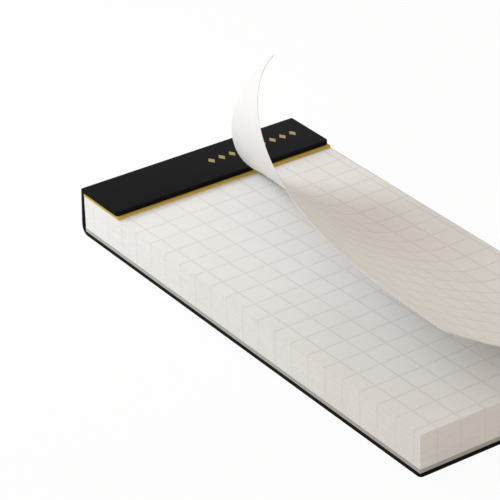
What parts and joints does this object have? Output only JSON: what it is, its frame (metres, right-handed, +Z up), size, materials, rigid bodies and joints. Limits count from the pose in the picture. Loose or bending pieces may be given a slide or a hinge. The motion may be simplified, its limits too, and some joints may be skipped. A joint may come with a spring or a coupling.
{
  "type": "legal pad",
  "caption": "Narrow top-bound writing pad with a folded black cover, a yellow header strip, squared sheets and a top sheet torn half off and curling up.",
  "frame": {"origin": "on the surface that the pad lies on, under the middle of its cover", "axes": "+X across the pad, +Y towards the bound header, +Z up out of the pages"},
  "size_m": [0.0492, 0.1065, 0.0373],
  "materials": {
    "black_board": "black coated board, faint leather grain, satin",
    "grey_board": "uncoated grey board",
    "squared_paper": "uncoated writing paper with thin grey squared lines",
    "yellow_card": "dyed yellow card, matt",
    "staple_wire": "galvanised steel wire"
  },
  "bodies": {
    "root": {"cover": "black_board", "backing_board": "grey_board", "page_block": "squared_paper", "header_strip": "yellow_card", "staple_left": "staple_wire", "staple_right": "staple_wire", "lifted_page": "squared_paper"}
  },
  "joints": []
}
